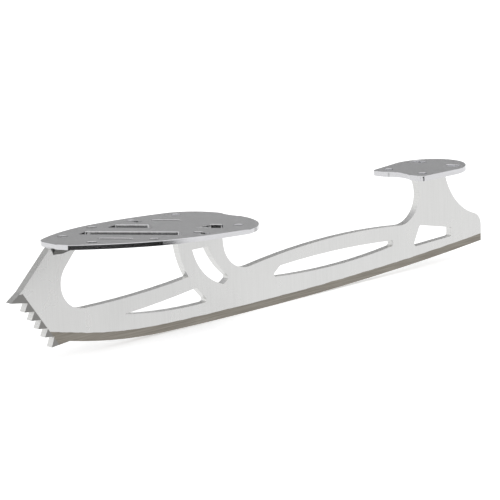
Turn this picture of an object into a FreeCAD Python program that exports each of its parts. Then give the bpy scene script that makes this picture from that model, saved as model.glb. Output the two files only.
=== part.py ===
import FreeCAD, Part

import math
import os
import re

import Sketcher
from FreeCAD import Placement, Rotation, Vector

# A figure skate blade for one boot, in millimetres and degrees. The origin is where the rocker
# touches the ice, at mid thickness. +X points to the heel, +Z up, and the toe picks are at -X.
# Stations are measured along X, heights up from the ice, sides from the blade's middle plane.

SIZES = {
    # Overall. The nominal length runs from the sole plate's front to the heel plate's back.
    "nominal_length": 254.0,
    "blade_thickness": 3.8,
    "edge_break": 0.3,
    # Runner: the main rocker, the tighter curve behind the picks, and the ground underside.
    "rocker_radius": 2134.0,
    "spin_radius": 250.0,
    "spin_start": 53.0,
    "hollow_radius": 12.7,
    "relief_height": 3.7,
    "relief_depth": 0.1,
    "tail_overhang": 20.7,
    "tail_height": 20.6,
    "tail_round": 7.5,
    # Toe picks, counted up from the drag pick. Tips are sharp, undersides nearly level.
    "drag_lead": 3.2,
    "drag_height": 6.3,
    "drag_length": 9.3,
    "drag_face_height": 4.4,
    "pick_depth": 4.85,
    "pick_undercut": 0.5,
    "pick_face_run": 1.8,
    "pick_face_height": 3.6,
    "top_pick_depth": 8.2,
    "top_pick_undercut": 1.3,
    "nose_run": 5.2,
    "nose_rise": 3.6,
    "ground_lead": 1.2,
    "ground_run": 4.2,
    # Toe stanchion and the arch behind it.
    "toe_lip": 1.2,
    "arch_lean": 48.8,
    "arch_setback": 3.2,
    "arch_round": 11.5,
    "arch_floor": 19.7,
    "arch_floor_radius": 450.0,
    # Middle stanchion, under the back of the sole plate.
    "middle_foot_length": 26.1,
    "middle_foot_setback": 15.5,
    "middle_front_run": 5.7,
    "middle_front_radius": 43.8,
    "middle_waist_height": 22.6,
    "middle_rear_run": 2.3,
    "middle_round": 14.0,
    # Bridge from the middle stanchion to the heel stanchion.
    "bridge_radius": 430.0,
    "bridge_front_height": 18.9,
    # Heel stanchion, under the heel plate.
    "heel_foot_setback": 10.3,
    "heel_foot_length": 23.3,
    "heel_throat_run": 11.2,
    "heel_throat_floor": 24.05,
    "heel_throat_depth": 4.1,
    "heel_throat_height": 38.0,
    "heel_throat_radius": 14.0,
    "heel_back_radius": 34.0,
    # Slot in the runner below the middle stanchion, measured from that stanchion's foot.
    "toe_slot_ahead": 31.1,
    "toe_slot_behind": 17.1,
    "toe_slot_rake": 7.0,
    "toe_slot_tip_height": 12.9,
    "toe_slot_floor": 9.4,
    "toe_slot_top": 17.0,
    "toe_slot_floor_radius": 230.0,
    "toe_slot_top_radius": 538.0,
    "toe_slot_round": 1.2,
    # Curved slot in the middle stanchion, from the same foot.
    "middle_slot_setback": 8.6,
    "middle_slot_width": 9.0,
    "middle_slot_top": 34.4,
    "middle_slot_floor": 15.8,
    "middle_slot_reach": 17.7,
    "middle_slot_tail_run": 3.9,
    "middle_slot_tail_rise": 2.5,
    "middle_slot_front_radius": 25.5,
    "middle_slot_rear_radius": 40.3,
    "middle_slot_round": 1.2,
    # Long window in the bridge, set back from the two stanchions.
    "bridge_window_front_gap": 13.5,
    "bridge_window_rear_gap": 4.9,
    "bridge_window_tip_height": 13.6,
    "bridge_window_rear_height": 14.6,
    "bridge_window_end_height": 2.7,
    "bridge_window_shoulder_run": 5.7,
    "bridge_window_shoulder_height": 18.1,
    "bridge_window_floor_radius": 399.0,
    "bridge_window_top_radius": 520.0,
    "bridge_window_round": 1.1,
    "bridge_window_shoulder_round": 3.0,
    # Window in the foot of the heel stanchion, measured from the heel throat.
    "heel_window_setback": 9.9,
    "heel_window_length": 30.2,
    "heel_window_lean": 5.3,
    "heel_window_floor": 11.5,
    "heel_window_floor_rise": 0.9,
    "heel_window_top": 21.9,
    "heel_window_rear_top": 16.9,
    "heel_window_round": 1.5,
    # Sole plate: its seat falls towards the heel. Side 'outer' is +Y, side 'inner' is -Y.
    "sole_ahead": 110.0,
    "sole_length": 108.2,
    "sole_thickness": 2.1,
    "sole_height": 49.6,
    "sole_pitch": 2.8,
    "sole_tip_width": 10.4,
    "sole_shoulder_setback": 2.4,
    "sole_shoulder_width": 19.2,
    "sole_flank_station": 38.0,
    "sole_flank_width": 54.2,
    "sole_front_radius": 109.0,
    "sole_side_radius": 190.0,
    "sole_outer_width": 32.5,
    "sole_inner_width": 29.8,
    "sole_outer_back_run": 21.0,
    "sole_outer_back_radius": 20.0,
    "sole_inner_back_run": 24.2,
    "sole_inner_back_radius": 35.0,
    "sole_notch_outer": 15.0,
    "sole_notch_inner": 1.5,
    "sole_notch_radius": 17.0,
    # Heel plate: its seat rises towards its back.
    "heel_length": 42.0,
    "heel_thickness": 2.6,
    "heel_height": 51.75,
    "heel_pitch": 2.24,
    "heel_width": 39.6,
    "heel_front_width": 34.0,
    "heel_corner_round": 3.0,
    "heel_side_round": 8.0,
    "heel_notch_width": 17.0,
    "heel_notch_radius": 16.5,
    # Screw holes, round or slotted across the plate, for the same screws. Shares of the sole
    # plate's length give their stations, and insets from its widths how far out they are.
    "screw_hole": 4.5,
    "screw_slot": 8.6,
    "first_screw_share": 0.1312,
    "first_screw_inset": 17.0,
    "second_screw_share": 0.3521,
    "second_screw_inset": 5.8,
    "slot_screw_share": 0.5823,
    "slot_screw_inset": 4.3,
    "last_screw_share": 0.8272,
    "last_screw_outer_inset": 7.1,
    "last_screw_inner_inset": 12.7,
    "heel_screw_setback": 35.8,
    "heel_screw_spread": 22.4,
    "heel_slot_setback": 12.4,
    # Lightening windows of the sole plate: parallel diagonal bars with raked ends.
    "window_angle": 45.0,
    "window_round": 0.9,
    # Silver-soldered seams between the stanchions' feet and the plates.
    "toe_seam_leg": 2.7,
    "seam_leg": 1.8,
    "seam_tail_leg": 0.8,
    "seam_setback": 0.3,
    "seam_hollow": 1.6,
}

# Each bar's centre line crosses the plate's centre line at 'cross_share' of the plate's length.
# Its outer end is 'start' and its inner end 'stop' from the centre line, and its rear edge is
# shorter by the two rakes.
WINDOWS = {
    "tip_bar": {"cross_share": 0.1599, "width": 3.2, "start": -4.4, "stop": -14.9,
                "start_rake": 0.8, "stop_rake": 0.6},
    "cross_bar": {"cross_share": 0.3530, "width": 8.4, "start": 12.3, "stop": -17.6,
                  "start_rake": 2.2, "stop_rake": 2.0},
    "outer_bar": {"cross_share": 0.6035, "width": 8.6, "start": 18.6, "stop": 6.2,
                  "start_rake": 3.0, "stop_rake": 3.0},
    "inner_bar": {"cross_share": 0.6155, "width": 10.6, "start": -9.0, "stop": -15.4,
                  "start_rake": 6.6, "stop_rake": 1.2},
    "last_bar": {"cross_share": 0.8355, "width": 3.0, "start": 20.0, "stop": 10.6,
                 "start_rake": 0.7, "stop_rake": 0.6},
}
SMALL_PICKS = 4
HALF = "half circle"
SIZE_NAME = re.compile(r"\b([a-z]+_[a-z_]+)\b")
SAME_POINT = 1e-6
ON_CORNER = 0.01
PARALLEL = 0.999
PAST_STOCK = 3

doc = FreeCAD.newDocument("figure_skate_blade")
sheet = doc.addObject("Spreadsheet::Sheet", "Sizes")
rows = list(SIZES.items())
for window, values in WINDOWS.items():
    rows += [(window + "_" + key, value) for key, value in values.items()]
for row, (alias, value) in enumerate(rows, 1):
    sheet.set("A%d" % row, alias)
    sheet.set("B%d" % row, str(value))
    sheet.setAlias("B%d" % row, alias)
doc.recompute()


def value_of(expression):
    """What an expression of the sheet's names comes to."""
    return float(sheet.evalExpression(expression))


def bind(thing, where, expression):
    """Tie a property or constraint to an expression of the sheet's names."""
    thing.setExpression(where, SIZE_NAME.sub(r"Sizes.\1", expression))


def new_sketch(body, name, role, offset=""):
    """A sketch on one of the body's own origin planes, moved along its normal by an expression."""
    sketch = body.newObject("Sketcher::SketchObject", name)
    plane = [feature for feature in body.Origin.OriginFeatures if feature.Role == role][0]
    sketch.AttachmentSupport = [(plane, "")]
    sketch.MapMode = "FlatFace"
    if offset:
        bind(sketch, "AttachmentOffset.Base.z", offset)
    return sketch


def arc_middle(start, end, bow):
    """Where an arc from start to end has its middle: left of the way there if its radius is
    positive, and right of it if the radius is negative or the arc is a half circle."""
    chord = end - start
    half = chord.Length / 2
    radius = -half if bow == HALF else value_of(bow)
    sagitta = abs(radius) - math.sqrt(radius * radius - half * half)
    left = Vector(-chord.y, chord.x, 0).normalize()
    return (start + end) / 2 + left * math.copysign(sagitta, radius)


def draw_loop(sketch, corners):
    """Draw a closed outline through corners (x, y, bow), each an expression. A bow is the radius
    of the edge that leaves the corner, with a minus where the edge bows to the right, or HALF for
    a half circle on the right, across or along the sketch."""
    points = [Vector(value_of(x), value_of(y), 0) for x, y, bow in corners]
    edges = []
    constraints = []
    ties = []
    for (x, y, bow), start, end in zip(corners, points, points[1:] + points[:1]):
        if bow:
            middle = arc_middle(start, end, bow)
            edges.append(sketch.addGeometry(Part.Arc(start, middle, end), False))
        else:
            edges.append(sketch.addGeometry(Part.LineSegment(start, end), False))

    def end_at(edge, point):
        return 1 if sketch.getPoint(edge, 1).distanceToPoint(point) < SAME_POINT else 2

    for number, (x, y, bow) in enumerate(corners):
        edge, point = edges[number], points[number]
        here = end_at(edge, point)
        before = edges[number - 1]
        constraints.append(Sketcher.Constraint("Coincident", before, end_at(before, point), edge, here))
        ties.append((len(constraints), x))
        constraints.append(Sketcher.Constraint("DistanceX", -1, 1, edge, here, point.x))
        ties.append((len(constraints), y))
        constraints.append(Sketcher.Constraint("DistanceY", -1, 1, edge, here, point.y))
        if bow == HALF:
            after = points[number - len(points) + 1]
            level = "Horizontal" if abs(after.y - point.y) < SAME_POINT else "Vertical"
            constraints.append(Sketcher.Constraint(level, edge, 3, edge, here))
        elif bow:
            ties.append((len(constraints), "abs(%s)" % bow))
            constraints.append(Sketcher.Constraint("Radius", edge, abs(value_of(bow))))
    already = sketch.ConstraintCount
    sketch.addConstraint(constraints)
    for number, expression in ties:
        bind(sketch, "Constraints[%d]" % (already + number), expression)


def draw_circle(sketch, x, y, diameter):
    """Draw a circle of a bound place and diameter."""
    centre = Vector(value_of(x), value_of(y), 0)
    circle = Part.Circle(centre, Vector(0, 0, 1), value_of(diameter) / 2)
    edge = sketch.addGeometry(circle, False)
    first = sketch.addConstraint(Sketcher.Constraint("DistanceX", -1, 1, edge, 3, centre.x))
    sketch.addConstraint(Sketcher.Constraint("DistanceY", -1, 1, edge, 3, centre.y))
    sketch.addConstraint(Sketcher.Constraint("Diameter", edge, circle.Radius * 2))
    for number, expression in enumerate((x, y, diameter)):
        bind(sketch, "Constraints[%d]" % (first + number), expression)


def draw_slot(sketch, x, y, width, length):
    """Draw a round-ended slot that runs across the plate."""
    reach = "((%s) - (%s))/2" % (length, width)
    low, high = "(%s) - %s" % (y, reach), "(%s) + %s" % (y, reach)
    left, right = "(%s) - (%s)/2" % (x, width), "(%s) + (%s)/2" % (x, width)
    draw_loop(sketch, [(left, low, HALF), (right, low, ""), (right, high, HALF), (left, high, "")])


def new_feature(body, kind, name, sketch=None):
    """A feature of the body, with its profile if it has one."""
    feature = body.newObject("PartDesign::" + kind, name)
    if sketch:
        feature.Profile = sketch
    return feature


def round_corners(body, name, corners, radius, axis):
    """Fillet the straight edges, parallel to the axis, that stand on the given corners."""
    doc.recompute()
    base = body.Tip
    places = [Vector(value_of(first), value_of(second), 0) for first, second in corners]
    found = []
    for number, edge in enumerate(base.Shape.Edges, 1):
        if len(edge.Vertexes) != 2:
            continue
        run = edge.Vertexes[1].Point - edge.Vertexes[0].Point
        if abs(run.dot(axis)) < PARALLEL * run.Length:
            continue
        middle = edge.CenterOfMass
        seen = Vector(middle.x, middle.y if axis.z else middle.z, 0)
        if any(seen.distanceToPoint(place) < ON_CORNER for place in places):
            found.append("Edge%d" % number)
    fillet = new_feature(body, "Fillet", name)
    fillet.Base = (base, found)
    bind(fillet, "Radius", radius)
    doc.recompute()
    return fillet


# Places that more than one piece needs, as expressions of the sheet's names
SOLE_FRONT = "(-sole_ahead)"
HEEL_BACK = "(nominal_length - sole_ahead)"
ACROSS = Vector(0, 1, 0)
UP = Vector(0, 0, 1)


def under_sole(x):
    """Height of the sole plate's underside at a station."""
    drop = "((%s) + sole_ahead)*tan(sole_pitch*1 deg)" % x
    return "(sole_height - sole_thickness/cos(sole_pitch*1 deg) - %s)" % drop


def under_heel(x):
    """Height of the heel plate's underside at a station."""
    rise = "((%s) - %s)*tan(heel_pitch*1 deg)" % (x, HEEL_BACK)
    return "(heel_height - heel_thickness/cos(heel_pitch*1 deg) + %s)" % rise


def rocker(x, lift="0"):
    """Height of the main rocker curve at a station, or of a curve that lies inside it."""
    return "(rocker_radius - sqrt((rocker_radius - (%s))^2 - (%s)^2))" % (lift, x)


SOLE_BACK = "(sole_length*cos(sole_pitch*1 deg) - sole_ahead)"
MIDDLE_FRONT = "(%s - middle_foot_setback - middle_foot_length)" % SOLE_BACK
MIDDLE_REAR = "(%s - middle_foot_setback)" % SOLE_BACK
TOE_TOP = "(%s - toe_lip)" % SOLE_FRONT
HEEL_FRONT = "(%s - heel_length + heel_foot_setback)" % HEEL_BACK
HEEL_REAR = "(%s + heel_foot_length)" % HEEL_FRONT
TAIL = "(%s + tail_overhang)" % HEEL_BACK
SPIN_X = "(-spin_start*(1 - spin_radius/rocker_radius))"
SPIN_Z = "(rocker_radius - (rocker_radius - spin_radius)*sqrt(1 - (spin_start/rocker_radius)^2))"
OUTSIDE = "blade_thickness"


def spin(x, lift="0"):
    """Height of the tighter curve behind the picks, or of a curve that lies inside it."""
    return "(%s - sqrt((spin_radius - (%s))^2 - ((%s) - %s)^2))" % (SPIN_Z, lift, x, SPIN_X)


def pick_corners():
    """The picks from the drag pick's tip up to the nose: a tip, then the root above it."""
    tip_x, tip_z = "(%s - drag_lead)" % SOLE_FRONT, "drag_height"
    corners = [(tip_x, tip_z, "")]
    root_x, root_z = "(%s + pick_face_run)" % tip_x, "(%s + drag_face_height)" % tip_z
    for number in range(SMALL_PICKS):
        corners.append((root_x, root_z, ""))
        tip_x, tip_z = "(%s - pick_depth)" % root_x, "(%s + pick_undercut)" % root_z
        corners.append((tip_x, tip_z, ""))
        root_x, root_z = "(%s + pick_face_run)" % tip_x, "(%s + pick_face_height)" % tip_z
    corners.append((root_x, root_z, ""))
    tip_x, tip_z = "(%s - top_pick_depth)" % root_x, "(%s + top_pick_undercut)" % root_z
    corners.append((tip_x, tip_z, ""))
    corners.append(("(%s + nose_run)" % tip_x, "(%s + nose_rise)" % tip_z, ""))
    return corners


def arch_corners():
    """The back of the toe stanchion: a leaning edge that runs into the arch's round."""
    centre_x = "(%s + arch_setback + arch_round)" % SOLE_FRONT
    lean_x = "(%s - arch_round*sin(arch_lean*1 deg))" % centre_x
    lean_z = "(arch_floor + arch_round + arch_round*cos(arch_lean*1 deg))"
    slopes = "(tan(arch_lean*1 deg) + tan(sole_pitch*1 deg))"
    foot_x = "(%s + (%s - %s)/%s)" % (lean_x, under_sole(lean_x), lean_z, slopes)
    return [(foot_x, under_sole(foot_x), ""), (lean_x, lean_z, "-arch_round"),
            (centre_x, "arch_floor", "-arch_floor_radius")]


def cut_through(body, name, corners, rounds):
    """Cut a window through the blade and round its corners. Rounds pair a radius with corners."""
    sketch = new_sketch(body, name + "_outline", "XZ_Plane")
    draw_loop(sketch, corners)
    pocket = new_feature(body, "Pocket", name, sketch)
    pocket.SideType = "Symmetric"
    bind(pocket, "Length", "blade_thickness*%d" % PAST_STOCK)
    for number, (radius, numbers) in enumerate(rounds):
        places = [corners[corner][:2] for corner in numbers]
        round_corners(body, "%s_rounds_%d" % (name, number), places, radius, ACROSS)


def make_blade():
    """The one-piece blade: laser-cut plate with picks, three stanchions, runner and windows."""
    body = doc.addObject("PartDesign::Body", "blade")
    picks = pick_corners()
    drag, top_pick, nose = picks[0], picks[-2], picks[-1]
    arch = arch_corners()
    drag_root = "(%s + drag_length)" % drag[0]
    waist = "(%s + middle_front_run)" % MIDDLE_FRONT
    middle_rear = ("(%s + middle_rear_run)" % MIDDLE_REAR, "bridge_front_height")
    throat = "(%s - heel_throat_run)" % HEEL_FRONT
    outline = [(TAIL, rocker(TAIL), "rocker_radius"),
               ("-spin_start", rocker("spin_start"), "spin_radius"),
               (drag_root, spin(drag_root), "")] + picks
    outline += [(TOE_TOP, under_sole(TOE_TOP), "")] + arch
    outline += [(waist, "middle_waist_height", "middle_front_radius"),
                (MIDDLE_FRONT, under_sole(MIDDLE_FRONT), ""),
                (MIDDLE_REAR, under_sole(MIDDLE_REAR), ""),
                middle_rear + ("bridge_radius",),
                (throat, "heel_throat_floor", "-heel_throat_radius"),
                ("(%s + heel_throat_depth)" % HEEL_FRONT, "heel_throat_height", "-heel_throat_radius"),
                (HEEL_FRONT, under_heel(HEEL_FRONT), ""),
                (HEEL_REAR, under_heel(HEEL_REAR), "-heel_back_radius"),
                (TAIL, "tail_height", "")]
    profile = new_sketch(body, "blade_outline", "XZ_Plane")
    draw_loop(profile, outline)
    pad = new_feature(body, "Pad", "blade_pad", profile)
    pad.SideType = "Symmetric"
    bind(pad, "Length", "blade_thickness")
    round_corners(body, "middle_rear_round", [middle_rear], "middle_round", ACROSS)
    round_corners(body, "tail_rounding", [(TAIL, "tail_height")], "tail_round", ACROSS)
    cut_windows(body, throat)
    grind_sides(body, drag, top_pick, nose)
    grind_hollow(body, drag_root)
    return body


def cut_windows(body, throat):
    """The slot in the runner, the curved slot, the long bridge window and the heel window."""
    front, rear = "(%s - toe_slot_ahead)" % MIDDLE_FRONT, "(%s + toe_slot_behind)" % MIDDLE_FRONT
    cut_through(body, "toe_slot", [
        (front, "toe_slot_tip_height", "-toe_slot_floor_radius"),
        (rear, "toe_slot_floor", ""),
        ("(%s - toe_slot_rake)" % rear, "toe_slot_top", "toe_slot_top_radius")],
        [("toe_slot_round", (1, 2))])
    left = "(%s + middle_slot_setback)" % MIDDLE_FRONT
    foot = "(%s + middle_slot_reach)" % left
    cut_through(body, "middle_slot", [
        (left, "middle_slot_top", "-middle_slot_front_radius"),
        (foot, "middle_slot_floor", ""),
        ("(%s + middle_slot_tail_run)" % foot, "(middle_slot_floor + middle_slot_tail_rise)",
         "middle_slot_rear_radius"),
        ("(%s + middle_slot_width)" % left, "middle_slot_top", "")],
        [("middle_slot_round", (1, 2))])
    tip = "(%s + middle_rear_run + bridge_window_front_gap + middle_round)" % MIDDLE_REAR
    end = "(%s - bridge_window_rear_gap)" % throat
    cut_through(body, "bridge_window", [
        (tip, "bridge_window_tip_height", "-bridge_window_floor_radius"),
        (end, "bridge_window_rear_height", ""),
        (end, "(bridge_window_rear_height + bridge_window_end_height)", "-bridge_window_top_radius"),
        ("(%s + bridge_window_shoulder_run)" % tip, "bridge_window_shoulder_height", "")],
        [("bridge_window_round", (0, 1, 2)), ("bridge_window_shoulder_round", (3,))])
    left = "(%s + heel_window_setback)" % throat
    right = "(%s + heel_window_length)" % left
    cut_through(body, "heel_window", [
        (left, "heel_window_floor", ""),
        (right, "(heel_window_floor + heel_window_floor_rise)", ""),
        (right, "heel_window_rear_top", ""),
        ("(%s + heel_window_lean)" % left, "heel_window_top", "")],
        [("heel_window_round", (0, 1, 2, 3))])


def grind_sides(body, drag, top_pick, nose):
    """The runner's edges and the picks are ground on both sides, a little below the plating."""
    back = "(%s + %s)" % (TAIL, OUTSIDE)
    below = "(-%s)" % OUTSIDE
    joint = "(%s - spin_start*(spin_radius - relief_height)/rocker_radius)" % SPIN_X
    band = new_sketch(body, "relief_outline", "XZ_Plane", "blade_thickness/2")
    draw_loop(band, [
        (back, below, ""),
        (back, rocker(back, "relief_height"), "rocker_radius - relief_height"),
        (joint, rocker(joint, "relief_height"), "spin_radius - relief_height"),
        (drag[0], spin(drag[0], "relief_height"), ""),
        (drag[0], below, "")])
    relief = new_feature(body, "Pocket", "side_relief", band)
    bind(relief, "Length", "relief_depth")
    front = "(%s - %s)" % (top_pick[0], OUTSIDE)
    teeth = new_sketch(body, "pick_grinding_outline", "XZ_Plane", "blade_thickness/2")
    draw_loop(teeth, [
        nose,
        ("(%s + ground_lead)" % nose[0], "(%s - ground_lead)" % nose[1], ""),
        ("(%s + ground_run)" % drag[0], drag[1], ""),
        ("(%s + ground_run)" % drag[0], below, ""),
        (front, below, ""),
        (front, nose[1], "")])
    grinding = new_feature(body, "Pocket", "pick_grinding", teeth)
    bind(grinding, "Length", "relief_depth")
    doc.recompute()
    mirrored = new_feature(body, "Mirrored", "both_sides")
    plane = [feature for feature in body.Origin.OriginFeatures if feature.Role == "XZ_Plane"][0]
    mirrored.Originals = [relief, grinding]
    mirrored.MirrorPlane = (plane, [""])
    body.Tip = mirrored
    doc.recompute()


def grind_hollow(body, drag_root):
    """The hollow ground along the underside, which leaves the runner its two edges."""
    half = "(blade_thickness/2 - relief_depth*2)"
    ground = [("main_hollow", "0", "rocker_radius", "asin(spin_start/rocker_radius)",
               "asin((%s + %s)/rocker_radius)" % (TAIL, OUTSIDE)),
              ("spin_hollow", SPIN_X, "spin_radius",
               "asin((%s - %s)/spin_radius)" % (SPIN_X, drag_root), "")]
    for name, station, radius, ahead, behind in ground:
        sketch = new_sketch(body, name + "_section", "YZ_Plane", station)
        centre = "rocker_radius" if station == "0" else SPIN_Z
        bottom = "(%s - %s)" % (centre, radius)
        low = "(%s - 1)" % bottom
        draw_loop(sketch, [("-" + half, low, ""), (half, low, ""), (half, bottom, "-hollow_radius"),
                           ("-" + half, bottom, "")])
        height = value_of(centre)
        axis = sketch.addGeometry(Part.LineSegment(Vector(-5, height, 0), Vector(5, height, 0)), True)
        level = sketch.addConstraint(Sketcher.Constraint("DistanceY", -1, 1, axis, 1, height))
        bind(sketch, "Constraints[%d]" % level, centre)
        sketch.addConstraint(Sketcher.Constraint("Horizontal", axis))
        groove = new_feature(body, "Groove", name, sketch)
        groove.ReferenceAxis = (sketch, ["Axis0"])
        groove.Type = "TwoAngles" if behind else "Angle"
        bind(groove, "Angle", ahead)
        if behind:
            bind(groove, "Angle2", behind)
        doc.recompute()


def place_on_seat(body, x, z, pitch):
    """Put a body in a plate's frame: the seat is its z = 0, and the pitch turns it about Y."""
    body.Placement = Placement(Vector(0, 0, 0), Rotation(Vector(0, 1, 0), 1.0))
    bind(body, "Placement.Base.x", x)
    bind(body, "Placement.Base.z", z)
    bind(body, "Placement.Rotation.Angle", pitch)


def on_sole(body):
    """The sole plate's frame, with its origin at the plate's front."""
    place_on_seat(body, SOLE_FRONT, "sole_height", "sole_pitch*1 deg")


def on_heel(body):
    """The heel plate's frame, with its origin at the plate's back."""
    place_on_seat(body, HEEL_BACK, "heel_height", "-heel_pitch*1 deg")


def pad_down(body, name, corners, thickness):
    """Pad a plate down from its seat."""
    sketch = new_sketch(body, name + "_outline", "XY_Plane")
    draw_loop(sketch, corners)
    pad = new_feature(body, "Pad", name, sketch)
    pad.Reversed = True
    bind(pad, "Length", thickness)


def punch(body, name, sketch, thickness):
    """Cut a sketch right through a plate."""
    pocket = new_feature(body, "Pocket", name, sketch)
    pocket.SideType = "Symmetric"
    bind(pocket, "Length", "(%s)*%d" % (thickness, PAST_STOCK))


def break_edges(body, name):
    """Round off the plate's upper edges."""
    doc.recompute()
    base = body.Tip
    seats = [number for number, face in enumerate(base.Shape.Faces, 1)
             if abs(face.BoundBox.ZMin - base.Shape.BoundBox.ZMax) < SAME_POINT]
    fillet = new_feature(body, "Fillet", name)
    fillet.Base = (base, ["Face%d" % number for number in seats])
    bind(fillet, "Radius", "edge_break")
    doc.recompute()


def window_corners(name):
    """The four corners of a lightening bar: the front edge, then the shorter rear edge."""
    cross = "sole_length*%s_cross_share" % name
    corners = []
    for end, rake, side, sign in (("start", "start_rake", -1, -1), ("stop", "stop_rake", -1, 1),
                                  ("stop", "stop_rake", 1, -1), ("start", "start_rake", 1, 1)):
        along = "(%d*%s_%s/2)" % (sign, name, rake)
        half = "(%d*%s_width/2)" % (side, name)
        x = ("(%s - %s_%s/tan(window_angle*1 deg) + %s*cos(window_angle*1 deg)"
             " + %s*sin(window_angle*1 deg))")
        y = "(%s_%s - %s*sin(window_angle*1 deg) + %s*cos(window_angle*1 deg))"
        corners.append((x % (cross, name, end, along, half), y % (name, end, along, half), ""))
    return corners


def make_sole_plate():
    """The sole plate: a leaf-shaped plate with screw holes, slots and lightening bars."""
    body = doc.addObject("PartDesign::Body", "sole_plate")
    outer_back, inner_back = "(sole_length - sole_outer_back_run)", "(sole_length - sole_inner_back_run)"
    pad_down(body, "sole_pad", [
        ("0", "sole_tip_width/2", ""),
        ("sole_shoulder_setback", "sole_shoulder_width/2", "sole_front_radius"),
        ("sole_flank_station", "sole_flank_width/2", "sole_side_radius"),
        (outer_back, "sole_outer_width", "sole_outer_back_radius"),
        ("sole_length", "sole_notch_outer", "-sole_notch_radius"),
        ("sole_length", "sole_notch_inner", "sole_inner_back_radius"),
        (inner_back, "-sole_inner_width", "sole_side_radius"),
        ("sole_flank_station", "-sole_flank_width/2", "sole_front_radius"),
        ("sole_shoulder_setback", "-sole_shoulder_width/2", ""),
        ("0", "-sole_tip_width/2", "")], "sole_thickness")
    places = []
    for name in WINDOWS:
        corners = window_corners(name)
        sketch = new_sketch(body, name + "_outline", "XY_Plane")
        draw_loop(sketch, corners)
        punch(body, name, sketch, "sole_thickness")
        places += [corner[:2] for corner in corners]
    round_corners(body, "window_rounds", places, "window_round", UP)
    holes = new_sketch(body, "sole_hole_centres", "XY_Plane")
    for name in ("first_screw", "second_screw"):
        station, side = "sole_length*%s_share" % name, "(sole_flank_width/2 - %s_inset)" % name
        draw_circle(holes, station, side, "screw_hole")
        draw_circle(holes, station, "-" + side, "screw_hole")
    last = "sole_length*last_screw_share"
    draw_circle(holes, last, "sole_outer_width - last_screw_outer_inset", "screw_hole")
    draw_circle(holes, last, "last_screw_inner_inset - sole_inner_width", "screw_hole")
    punch(body, "sole_holes", holes, "sole_thickness")
    slots = new_sketch(body, "sole_slot_outlines", "XY_Plane")
    for side in ("", "-"):
        draw_slot(slots, "sole_length*slot_screw_share", side + "(sole_flank_width/2 - slot_screw_inset)",
                  "screw_hole", "screw_slot")
    punch(body, "sole_slots", slots, "sole_thickness")
    break_edges(body, "sole_edges")
    on_sole(body)
    return body


def make_heel_plate():
    """The heel plate: round at the back, notched in front, with two holes and two slots."""
    body = doc.addObject("PartDesign::Body", "heel_plate")
    fronts = [("-heel_length", "-heel_front_width/2"), ("-heel_length", "heel_front_width/2")]
    sides = [("-heel_width/2", "-heel_width/2"), ("-heel_width/2", "heel_width/2")]
    pad_down(body, "heel_pad", [
        fronts[0] + ("",),
        sides[0] + (HALF,),
        sides[1] + ("",),
        fronts[1] + ("",),
        ("-heel_length", "heel_notch_width/2", "heel_notch_radius"),
        ("-heel_length", "-heel_notch_width/2", "")], "heel_thickness")
    round_corners(body, "heel_corners", fronts, "heel_corner_round", UP)
    round_corners(body, "heel_sides", sides, "heel_side_round", UP)
    holes = new_sketch(body, "heel_hole_centres", "XY_Plane")
    slots = new_sketch(body, "heel_slot_outlines", "XY_Plane")
    for side in ("", "-"):
        draw_circle(holes, "-heel_screw_setback", side + "heel_screw_spread/2", "screw_hole")
        draw_slot(slots, "-heel_slot_setback", side + "heel_screw_spread/2", "screw_hole", "screw_slot")
    punch(body, "heel_holes", holes, "heel_thickness")
    punch(body, "heel_slots", slots, "heel_thickness")
    break_edges(body, "heel_edges")
    on_heel(body)
    return body


def make_seam(name, side, thickness, start, stop, shares, seat):
    """A seam of silver solder in the corner between a stanchion's side and a plate's underside.
    Shares pair a part of the way from start to stop with the seam's leg there."""
    body = doc.addObject("PartDesign::Body", name)
    sections = []
    for number, (share, leg) in enumerate(shares):
        place = "(%s + (%s - %s)*%s)" % (start, stop, start, share)
        sketch = new_sketch(body, "%s_section_%d" % (name, number), "YZ_Plane", place)
        wall, top = "(%d*blade_thickness/2)" % side, "(-%s)" % thickness
        bow = "(%s*seam_hollow)" % leg if side > 0 else "(-%s*seam_hollow)" % leg
        draw_loop(sketch, [(wall, top, ""), (wall, "(%s - %s)" % (top, leg), bow),
                           ("(%s + %d*%s)" % (wall, side, leg), top, "")])
        sections.append(sketch)
    loft = new_feature(body, "AdditiveLoft", name + "_loft", sections[0])
    loft.Sections = sections[1:]
    loft.Ruled = True
    seat(body)
    return body


def under_sole_station(x):
    """Where a station lies along the sole plate's underside, in that plate's frame."""
    return "(((%s) + sole_ahead + sole_thickness*sin(sole_pitch*1 deg))/cos(sole_pitch*1 deg))" % x


def under_heel_station(x):
    """Where a station lies along the heel plate's underside, in that plate's frame."""
    return "(((%s) - %s - heel_thickness*sin(heel_pitch*1 deg))/cos(heel_pitch*1 deg))" % (x, HEEL_BACK)


def make_seams():
    """Every foot has a seam on each side. The toe's is heaviest in front, the others in the middle."""
    toe_back = arch_corners()[0][0]
    front_heavy = (("0", "toe_seam_leg"), ("0.4", "toe_seam_leg"), ("1", "seam_tail_leg"))
    middle_heavy = (("0", "seam_tail_leg"), ("0.3", "seam_leg"), ("0.7", "seam_leg"), ("1", "seam_tail_leg"))
    feet = [
        ("toe_seam", "seam_setback", under_sole_station(toe_back), front_heavy, on_sole, "sole_thickness"),
        ("middle_seam", under_sole_station(MIDDLE_FRONT), under_sole_station(MIDDLE_REAR), middle_heavy,
         on_sole, "sole_thickness"),
        ("heel_seam", under_heel_station(HEEL_FRONT), under_heel_station(HEEL_REAR), middle_heavy,
         on_heel, "heel_thickness")]
    seams = []
    for name, start, stop, shares, seat, thickness in feet:
        start, stop = "(%s + seam_setback)" % start, "(%s - seam_setback)" % stop
        seams.append(make_seam(name + "_left", -1, thickness, start, stop, shares, seat))
        seams.append(make_seam(name + "_right", 1, thickness, start, stop, shares, seat))
    return seams


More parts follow.
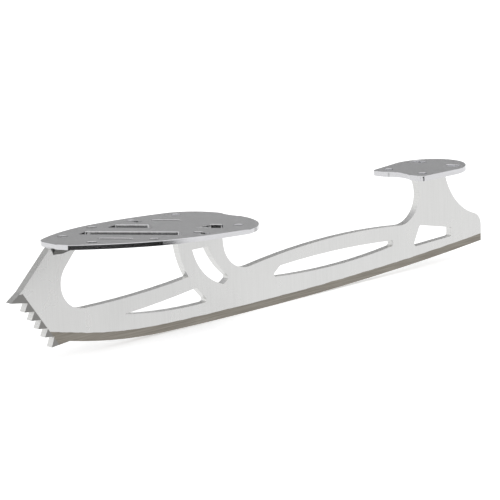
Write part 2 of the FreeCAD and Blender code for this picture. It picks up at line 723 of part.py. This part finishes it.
pieces = [make_blade(), make_sole_plate(), make_heel_plate()] + make_seams()
doc.recompute()
for thing in doc.Objects:
    if "Invalid" in thing.State or "Error" in thing.State:
        raise RuntimeError("%s failed: %s" % (thing.Name, thing.State))
os.makedirs("parts", exist_ok=True)
for piece in pieces:
    if piece.Shape.isNull() or not piece.Shape.isValid() or len(piece.Shape.Solids) != 1:
        raise RuntimeError("%s is not one sound solid" % piece.Label)
    piece.Shape.exportStep("parts/%s.step" % piece.Label)
    box = piece.Shape.BoundBox
    print("%-20s %9.1f mm3  x %.1f..%.1f  y %.1f..%.1f  z %.1f..%.1f" % (
        piece.Label, piece.Shape.Volume, box.XMin, box.XMax, box.YMin, box.YMax, box.ZMin, box.ZMax))
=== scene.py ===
import bpy
from mathutils import Matrix, Vector

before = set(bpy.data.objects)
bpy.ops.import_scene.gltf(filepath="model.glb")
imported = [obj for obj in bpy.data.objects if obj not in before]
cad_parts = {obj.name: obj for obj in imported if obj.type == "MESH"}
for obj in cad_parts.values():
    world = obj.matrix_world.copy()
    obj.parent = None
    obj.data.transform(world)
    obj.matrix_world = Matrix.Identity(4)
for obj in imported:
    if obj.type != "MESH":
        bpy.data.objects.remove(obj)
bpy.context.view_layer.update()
bpy.context.scene.view_settings.view_transform = "Standard"


# The photographer's place: a long lens a step in front of the toe and a little above the plates.
# It stands 0.74 m away and looks down about 12 degrees, along the whole length of the blade.
lens = bpy.data.cameras.new("long_lens")
lens.lens = 115.62
lens.sensor_width = 36.0
lens.clip_start, lens.clip_end = 0.05, 60.0
viewpoint = bpy.data.objects.new("viewpoint", lens)
bpy.context.scene.collection.objects.link(viewpoint)
to_the_right = Vector((0.73198, -0.6803, -0.03743))
downwards = Vector((-0.16369, -0.12227, -0.9789))
onwards = Vector((0.66137, 0.72266, -0.20086))
viewpoint.matrix_world = Matrix.Translation((-0.48495, -0.53130, 0.17574)) @ Matrix((
    (to_the_right.x, -downwards.x, -onwards.x, 0),
    (to_the_right.y, -downwards.y, -onwards.y, 0),
    (to_the_right.z, -downwards.z, -onwards.z, 0),
    (0, 0, 0, 1)))
bpy.context.scene.camera = viewpoint


# The table and the studio round it: a white laminate top under soft daylight, in plain pale air.
# Bare metal shows its surroundings, so two matt cards stand where the plates mirror them.
def linear(hex_colour):
    """An sRGB hex colour as the linear colour that a shader takes."""
    shares = [int(hex_colour[at:at + 2], 16) / 255 for at in (0, 2, 4)]
    return [share / 12.92 if share <= 0.04045 else ((share + 0.055) / 1.055) ** 2.4
            for share in shares] + [1.0]


def node(tree, kind, settings=None, **links):
    """Adds a shader node. Settings go to its properties, links to the sockets of that name or
    number, as values or as other nodes' outputs."""
    made = tree.nodes.new(kind)
    for name, value in (settings or {}).items():
        setattr(made, name, value)
    for name, value in links.items():
        key = int(name[1:]) if name[0] == "_" and name[1:].isdigit() else name.replace("_", " ")
        if isinstance(value, bpy.types.NodeSocket):
            tree.links.new(value, made.inputs[key])
        else:
            made.inputs[key].default_value = value
    return made


def new_material(name):
    """A material with an empty node tree and its output."""
    made = bpy.data.materials.new(name)
    made.use_nodes = True
    made.node_tree.nodes.clear()
    return made, made.node_tree, node(made.node_tree, "ShaderNodeOutputMaterial")


# The laminate is white in view, through openings and in metal, and keeps the blade's shadow.
table_glow = 0.45
full_white = 1.0
laminate, tree, out = new_material("white_laminate")
rays = node(tree, "ShaderNodeLightPath")
shown = node(tree, "ShaderNodeMath", {"operation": "MAXIMUM"},
             _0=rays.outputs["Is Camera Ray"], _1=rays.outputs["Is Transmission Ray"])
lit = node(tree, "ShaderNodeBsdfDiffuse", Color=linear("EFEFEF"))
glow = node(tree, "ShaderNodeEmission", Color=linear("FFFFFF"), Strength=table_glow)
bright = node(tree, "ShaderNodeAddShader", _0=lit.outputs[0], _1=glow.outputs[0])
seen = node(tree, "ShaderNodeMixShader", _0=shown.outputs[0],
            _1=lit.outputs[0], _2=bright.outputs[0])
white = node(tree, "ShaderNodeEmission", Color=linear("FFFFFF"), Strength=full_white)
face = node(tree, "ShaderNodeMixShader", _0=rays.outputs["Is Glossy Ray"],
            _1=seen.outputs[0], _2=white.outputs[0])
tree.links.new(face.outputs[0], out.inputs["Surface"])

table_half = 12.0
table_mesh = bpy.data.meshes.new("table_top")
table_mesh.from_pydata([(-table_half, -table_half, 0), (table_half, -table_half, 0),
                        (table_half, table_half, 0), (-table_half, table_half, 0)],
                       [], [(0, 1, 2, 3)])
table_mesh.materials.append(laminate)
table_top = bpy.data.objects.new("table_top", table_mesh)
bpy.context.scene.collection.objects.link(table_top)

# The air is plain and pale, and white in view, through openings and in metal.
studio = bpy.data.worlds.new("studio")
bpy.context.scene.world = studio
studio.use_nodes = True
tree = studio.node_tree
tree.nodes.clear()
rays = node(tree, "ShaderNodeLightPath")
in_view = node(tree, "ShaderNodeMath", {"operation": "MAXIMUM"},
               _0=rays.outputs["Is Camera Ray"], _1=rays.outputs["Is Transmission Ray"])
shown = node(tree, "ShaderNodeMath", {"operation": "MAXIMUM"},
             _0=in_view.outputs[0], _1=rays.outputs["Is Glossy Ray"])
plain = node(tree, "ShaderNodeBackground", Color=linear("E6E6E6"), Strength=full_white)
white = node(tree, "ShaderNodeBackground", Color=linear("FFFFFF"), Strength=full_white)
air = node(tree, "ShaderNodeMixShader", _0=shown.outputs[0],
           _1=plain.outputs[0], _2=white.outputs[0])
node(tree, "ShaderNodeOutputWorld", Surface=air.outputs[0])


def studio_card(name, colour, corners):
    """A matt card, hidden from the camera and casting no shadow, so that only metal shows it."""
    paint, tree, out = new_material(name)
    matt = node(tree, "ShaderNodeBsdfDiffuse", Color=linear(colour))
    tree.links.new(matt.outputs[0], out.inputs["Surface"])
    sheet = bpy.data.meshes.new(name)
    sheet.from_pydata(corners, [], [(0, 1, 2, 3)])
    sheet.materials.append(paint)
    card = bpy.data.objects.new(name, sheet)
    card.visible_camera = card.visible_diffuse = card.visible_shadow = False
    bpy.context.scene.collection.objects.link(card)


# A black card lies on the table off the toe, where the sole plate's near rim mirrors its front
# part. A grey one stands behind the table, and the plates' tops mirror it.
studio_card("toe_card", "141414", ((-0.52, -0.45, 0.002), (0.01, -0.50, 0.002),
                                   (0.03, -0.18, 0.002), (-0.46, -0.10, 0.002)))
studio_card("back_card", "ACACAC", ((-1.2, 2.2, 0.1), (2.6, -0.6, 0.1),
                                    (2.6, -0.6, 1.7), (-1.2, 2.2, 1.7)))


def soft_box(name, place, aim, width, height, watts):
    """A soft box: a square lamp at a place, turned towards what it lights."""
    lamp = bpy.data.lights.new(name, "AREA")
    lamp.shape, lamp.size, lamp.size_y = "RECTANGLE", width, height
    lamp.energy = watts
    stand = bpy.data.objects.new(name, lamp)
    stand.location = place
    stand.rotation_euler = (Vector(aim) - Vector(place)).to_track_quat("-Z", "Y").to_euler()
    stand.visible_glossy = False
    bpy.context.scene.collection.objects.link(stand)


soft_box("overhead_box", (0.1, -0.2, 1.6), (0, 0, 0), 1.4, 1.4, 9.0)


# The blade: one plate of carbon steel, 3.8 mm thick, cut to its outline with the windows by laser.
# It is polished to a satin, nickel-plated, then ground to bare steel on the runner and the picks.
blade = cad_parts["blade"]
rocker_radius = 2.134
spin_start = -0.053
spin_radius = 0.250
ground_height = 0.0037
pick_line_foot = Vector((-0.109, 0.0, 0.0063))
pick_line_head = Vector((-0.1254, 0.0, 0.0307))
nose_margin = 0.0006
band_waver = 0.00015
towards_side = 0.7
towards_toe = -0.6
least_roughness, most_roughness = 0.24, 0.34
runner_roughness = 0.36

# Satin nickel plate over polished steel: pale grey, with a broad soft reflection and a faint
# upright grain left by the polishing belt.
satin_nickel, tree, out = new_material("satin_nickel_and_ground_steel")
where = node(tree, "ShaderNodeTexCoord")
belt_way = node(tree, "ShaderNodeMapping", Vector=where.outputs["Object"], Scale=(1400, 400, 60))
belt = node(tree, "ShaderNodeTexNoise", Vector=belt_way.outputs[0], Scale=1.0, Detail=3.0)
cloud = node(tree, "ShaderNodeTexNoise", Vector=where.outputs["Object"], Scale=35.0, Detail=2.0)
nickel = node(tree, "ShaderNodeMix", {"data_type": "RGBA"}, _0=belt.outputs[0],
              _6=linear("D8D8D7"), _7=linear("E2E2E1"))
nickel_gloss = node(tree, "ShaderNodeMapRange", _0=cloud.outputs[0], _1=0.3, _2=0.7,
                    _3=least_roughness, _4=most_roughness)

# The laser left fine upright ribs across the thickness on every cut wall. The plating keeps them.
# Real ribs are about 0.1 mm apart, too fine to show, so they are drawn 0.6 mm apart.
facing = node(tree, "ShaderNodeSeparateXYZ", _0=where.outputs["Normal"])
turned = node(tree, "ShaderNodeMath", {"operation": "ABSOLUTE"}, _0=facing.outputs["Y"])
on_side = node(tree, "ShaderNodeMath", {"operation": "GREATER_THAN"},
               _0=turned.outputs[0], _1=towards_side)
rib_way = node(tree, "ShaderNodeMapping", Vector=where.outputs["Object"], Scale=(1600, 60, 1600))
ribs = node(tree, "ShaderNodeTexNoise", Vector=rib_way.outputs[0], Scale=1.0, Detail=2.0)
cut_nickel = node(tree, "ShaderNodeMix", {"data_type": "RGBA"}, _0=ribs.outputs[0],
                  _6=linear("D4D4D3"), _7=linear("F2F2F0"))
coat = node(tree, "ShaderNodeMix", {"data_type": "RGBA"}, _0=on_side.outputs[0],
            _6=cut_nickel.outputs[2], _7=nickel.outputs[2])
plated = node(tree, "ShaderNodeBsdfPrincipled", Base_Color=coat.outputs[2], Metallic=1.0,
              Roughness=nickel_gloss.outputs[0])

# Bare steel on the runner and picks, brownish, with the wheel's scratches running along the blade.
# Real scratches are about 0.05 mm apart, too fine to show, so they are drawn 0.4 mm apart.
wheel_way = node(tree, "ShaderNodeMapping", Vector=where.outputs["Object"], Scale=(60, 400, 2500))
wheel = node(tree, "ShaderNodeTexNoise", Vector=wheel_way.outputs[0], Scale=1.0, Detail=4.0)
runner_steel = node(tree, "ShaderNodeMix", {"data_type": "RGBA"}, _0=wheel.outputs[0],
                    _6=linear("666159"), _7=linear("ACA79E"))
# The ground band keeps its height above the rocker, and the picks are ground up to a leaning line.
spot = node(tree, "ShaderNodeSeparateXYZ", _0=where.outputs["Object"])
rocker_place = node(tree, "ShaderNodeMath", {"operation": "MULTIPLY"},
                    _0=spot.outputs["X"], _1=spot.outputs["X"])
below_rocker = node(tree, "ShaderNodeMath", {"operation": "MULTIPLY_ADD"},
                    _0=rocker_place.outputs[0], _1=-1 / (2 * rocker_radius), _2=spot.outputs["Z"])
ahead = node(tree, "ShaderNodeMapRange", _0=spot.outputs["X"], _1=spin_start, _2=spin_start - 0.1,
             _3=0.0, _4=0.1)
ahead_squared = node(tree, "ShaderNodeMath", {"operation": "MULTIPLY"},
                     _0=ahead.outputs[0], _1=ahead.outputs[0])
above_ice = node(tree, "ShaderNodeMath", {"operation": "MULTIPLY_ADD"}, _0=ahead_squared.outputs[0],
                 _1=1 / (2 * rocker_radius) - 1 / (2 * spin_radius), _2=below_rocker.outputs[0])
hand = node(tree, "ShaderNodeTexNoise", Vector=where.outputs["Object"], Scale=160.0, Detail=2.0)
band_top = node(tree, "ShaderNodeMapRange", _0=hand.outputs[0], _1=0.3, _2=0.7,
                _3=ground_height - band_waver, _4=ground_height + band_waver)
in_band = node(tree, "ShaderNodeMath", {"operation": "LESS_THAN"},
               _0=above_ice.outputs[0], _1=band_top.outputs[0])
slope = (pick_line_head - pick_line_foot).normalized()
along_line = node(tree, "ShaderNodeVectorMath", {"operation": "DOT_PRODUCT"},
                  _0=where.outputs["Object"], _1=(slope.z, 0, -slope.x))
past_line = node(tree, "ShaderNodeMath", {"operation": "LESS_THAN"}, _0=along_line.outputs["Value"],
                 _1=pick_line_foot.x * slope.z - pick_line_foot.z * slope.x)
under_nose = node(tree, "ShaderNodeMath", {"operation": "LESS_THAN"},
                  _0=spot.outputs["Z"], _1=pick_line_head.z + nose_margin)
in_corner = node(tree, "ShaderNodeMath", {"operation": "MULTIPLY"},
                 _0=past_line.outputs[0], _1=under_nose.outputs[0])
on_picks = node(tree, "ShaderNodeMath", {"operation": "MULTIPLY"},
                _0=in_corner.outputs[0], _1=on_side.outputs[0])
not_in_front = node(tree, "ShaderNodeMath", {"operation": "GREATER_THAN"},
                    _0=facing.outputs["X"], _1=towards_toe)
on_runner = node(tree, "ShaderNodeMath", {"operation": "MULTIPLY"},
                 _0=in_band.outputs[0], _1=not_in_front.outputs[0])
ground = node(tree, "ShaderNodeMath", {"operation": "MAXIMUM"},
              _0=on_runner.outputs[0], _1=on_picks.outputs[0])
steel = node(tree, "ShaderNodeMix", {"data_type": "RGBA"}, _0=on_picks.outputs[0],
             _6=runner_steel.outputs[2], _7=linear("8E8D8B"))
wheel_marks = node(tree, "ShaderNodeBump", Height=wheel.outputs[0], Strength=0.3, Distance=0.00008)
bare = node(tree, "ShaderNodeBsdfPrincipled", Base_Color=steel.outputs[2], Metallic=1.0,
            Roughness=runner_roughness, Normal=wheel_marks.outputs[0])

skin = node(tree, "ShaderNodeMixShader", _0=ground.outputs[0],
            _1=plated.outputs[0], _2=bare.outputs[0])
tree.links.new(skin.outputs[0], out.inputs["Surface"])
blade.data.materials.clear()
blade.data.materials.append(satin_nickel)


# The sole plate and the heel plate: flat steel plates, cut and drilled, then nickel-plated with
# the blade. The blade's feet stand under them, and the boot's screws come up through the holes.
brushed_nickel, tree, out = new_material("brushed_nickel_plate")
windows_middle = (-0.0575, 0.001, 0.046)
windows_reach = (0.0475, 0.0262, 1)
oval_edge = 0.02
wall_tilt = 0.5
plate_roughness = 0.12
where = node(tree, "ShaderNodeTexCoord")
brush_way = node(tree, "ShaderNodeMapping", Vector=where.outputs["Object"], Scale=(60, 1500, 1500))
brush = node(tree, "ShaderNodeTexNoise", Vector=brush_way.outputs[0], Scale=1.0, Detail=3.0)
nickel = node(tree, "ShaderNodeMix", {"data_type": "RGBA"}, _0=brush.outputs[0],
              _6=linear("D0D0D3"), _7=linear("E2E2E4"))
brush_marks = node(tree, "ShaderNodeBump", Height=brush.outputs[0], Strength=0.25, Distance=0.00003)

# The sole plate's windows keep the laser's ribs, drawn 0.5 mm apart like the blade's. The ribs'
# dark end is painted shade, for the shade inside the windows. The rims and the screw holes are
# polished, so the ribs and the painted shade stay inside an oval round the windows.
facing = node(tree, "ShaderNodeSeparateXYZ", _0=where.outputs["Normal"])
raised = node(tree, "ShaderNodeMath", {"operation": "ABSOLUTE"}, _0=facing.outputs["Z"])
upright = node(tree, "ShaderNodeMath", {"operation": "LESS_THAN"},
               _0=raised.outputs[0], _1=wall_tilt)
oval_way = node(tree, "ShaderNodeMapping", {"vector_type": "TEXTURE"},
                Vector=where.outputs["Object"], Location=windows_middle, Scale=windows_reach)
oval = node(tree, "ShaderNodeTexGradient", {"gradient_type": "SPHERICAL"},
            Vector=oval_way.outputs[0])
inside = node(tree, "ShaderNodeMath", {"operation": "GREATER_THAN"},
              _0=oval.outputs["Fac"], _1=oval_edge)
window_walls_painted_shade = node(tree, "ShaderNodeMath", {"operation": "MULTIPLY"},
               _0=upright.outputs[0], _1=inside.outputs[0])
rib_way = node(tree, "ShaderNodeMapping", Vector=where.outputs["Object"], Scale=(2000, 2000, 60))
ribs = node(tree, "ShaderNodeTexNoise", Vector=rib_way.outputs[0], Scale=1.0, Detail=2.0)
# The dark end of these rib colours is painted shade inside the windows.
cut_nickel = node(tree, "ShaderNodeMix", {"data_type": "RGBA"}, _0=ribs.outputs[0],
                  _6=linear("88888A"), _7=linear("F4F4F4"))
coat = node(tree, "ShaderNodeMix", {"data_type": "RGBA"}, _0=window_walls_painted_shade.outputs[0],
            _6=nickel.outputs[2], _7=cut_nickel.outputs[2])
surface = node(tree, "ShaderNodeBsdfPrincipled", Base_Color=coat.outputs[2], Metallic=1.0,
               Roughness=plate_roughness, Normal=brush_marks.outputs[0])
tree.links.new(surface.outputs[0], out.inputs["Surface"])
for name in ("sole_plate", "heel_plate"):
    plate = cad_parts[name]
    plate.data.materials.clear()
    plate.data.materials.append(brushed_nickel)


# The six seams: silver solder run into the corners between the feet and the plates, then plated
# over. It set with a smooth hollow face, as glossy as the plates. Its dark colour is painted shade,
# for the shade under the plates.
solder, tree, out = new_material("plated_silver_solder_in_painted_shade")
seam_roughness = 0.12
where = node(tree, "ShaderNodeTexCoord")
ripple = node(tree, "ShaderNodeTexNoise", Vector=where.outputs["Object"], Scale=900.0, Detail=2.0)
bumps = node(tree, "ShaderNodeBump", Height=ripple.outputs[0], Strength=0.15, Distance=0.0002)
# The dark colour here is painted shade under the plates, with a faint random ripple.
solder_painted_shade = node(tree, "ShaderNodeMix", {"data_type": "RGBA"}, _0=ripple.outputs[0],
            _6=linear("4E4E4C"), _7=linear("747472"))
surface = node(tree, "ShaderNodeBsdfPrincipled", Base_Color=solder_painted_shade.outputs[2], Metallic=1.0,
               Roughness=seam_roughness, Normal=bumps.outputs[0])
tree.links.new(surface.outputs[0], out.inputs["Surface"])
for name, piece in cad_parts.items():
    if "seam" in name:
        piece.data.materials.clear()
        piece.data.materials.append(solder)
